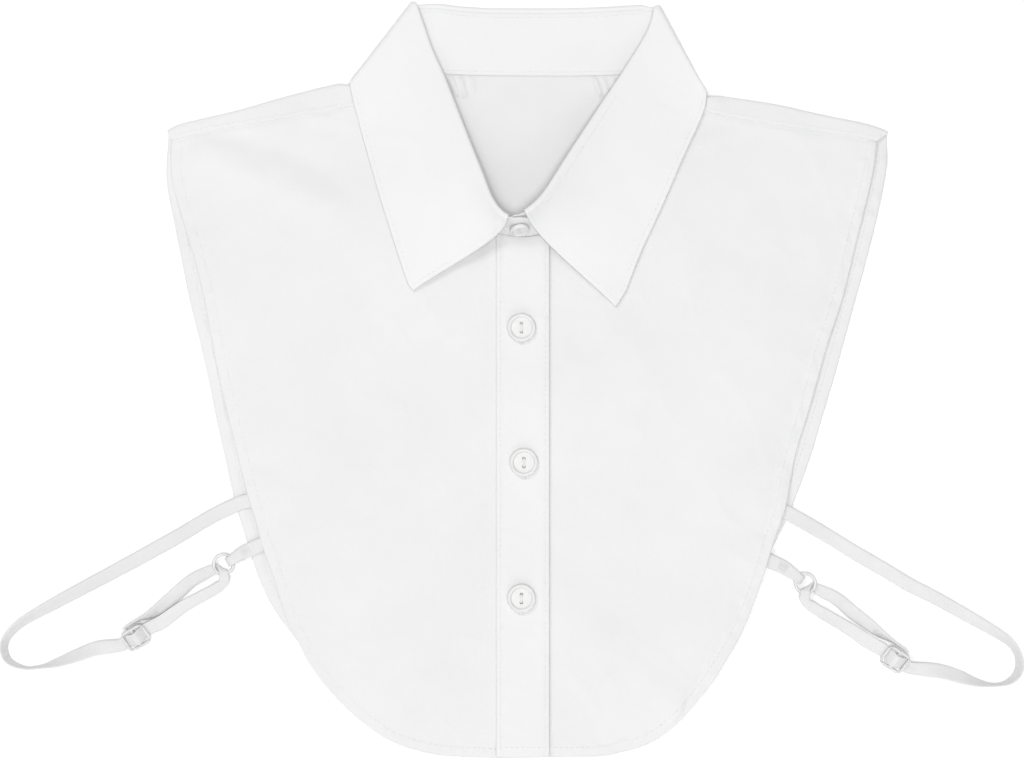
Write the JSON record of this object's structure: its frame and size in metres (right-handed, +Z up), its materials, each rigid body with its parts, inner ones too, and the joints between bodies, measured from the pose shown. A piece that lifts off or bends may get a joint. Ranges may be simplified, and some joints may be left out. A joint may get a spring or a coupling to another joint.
{
  "type": "dickey",
  "caption": "White cotton shirt-collar dickey with a buttoned placket and adjustable elastic side straps, laid flat.",
  "frame": {"origin": "on the surface it lies on, beneath the centre front line, a little above the middle of its length", "axes": "+X to the viewer's right across the shoulders, +Y up the front towards the collar, +Z up off the surface"},
  "size_m": [0.5101, 0.3773, 0.0277],
  "materials": {
    "cotton": "matte",
    "elastic": "matte",
    "clear_plastic": "gloss",
    "pearl_plastic": "gloss"
  },
  "bodies": {
    "root": {"back_panel": "cotton", "front_over": "cotton", "front_under": "cotton", "placket": "cotton", "collar_stand": "cotton", "collar_leaf": "cotton", "strap_left": "elastic", "strap_right": "elastic", "tab_left": "elastic", "tab_right": "elastic", "ring_left": "clear_plastic", "ring_right": "clear_plastic", "slider_left": "clear_plastic", "slider_right": "clear_plastic", "button_1": "pearl_plastic", "button_2": "pearl_plastic", "button_3": "pearl_plastic", "neck_button": "pearl_plastic"}
  },
  "joints": []
}
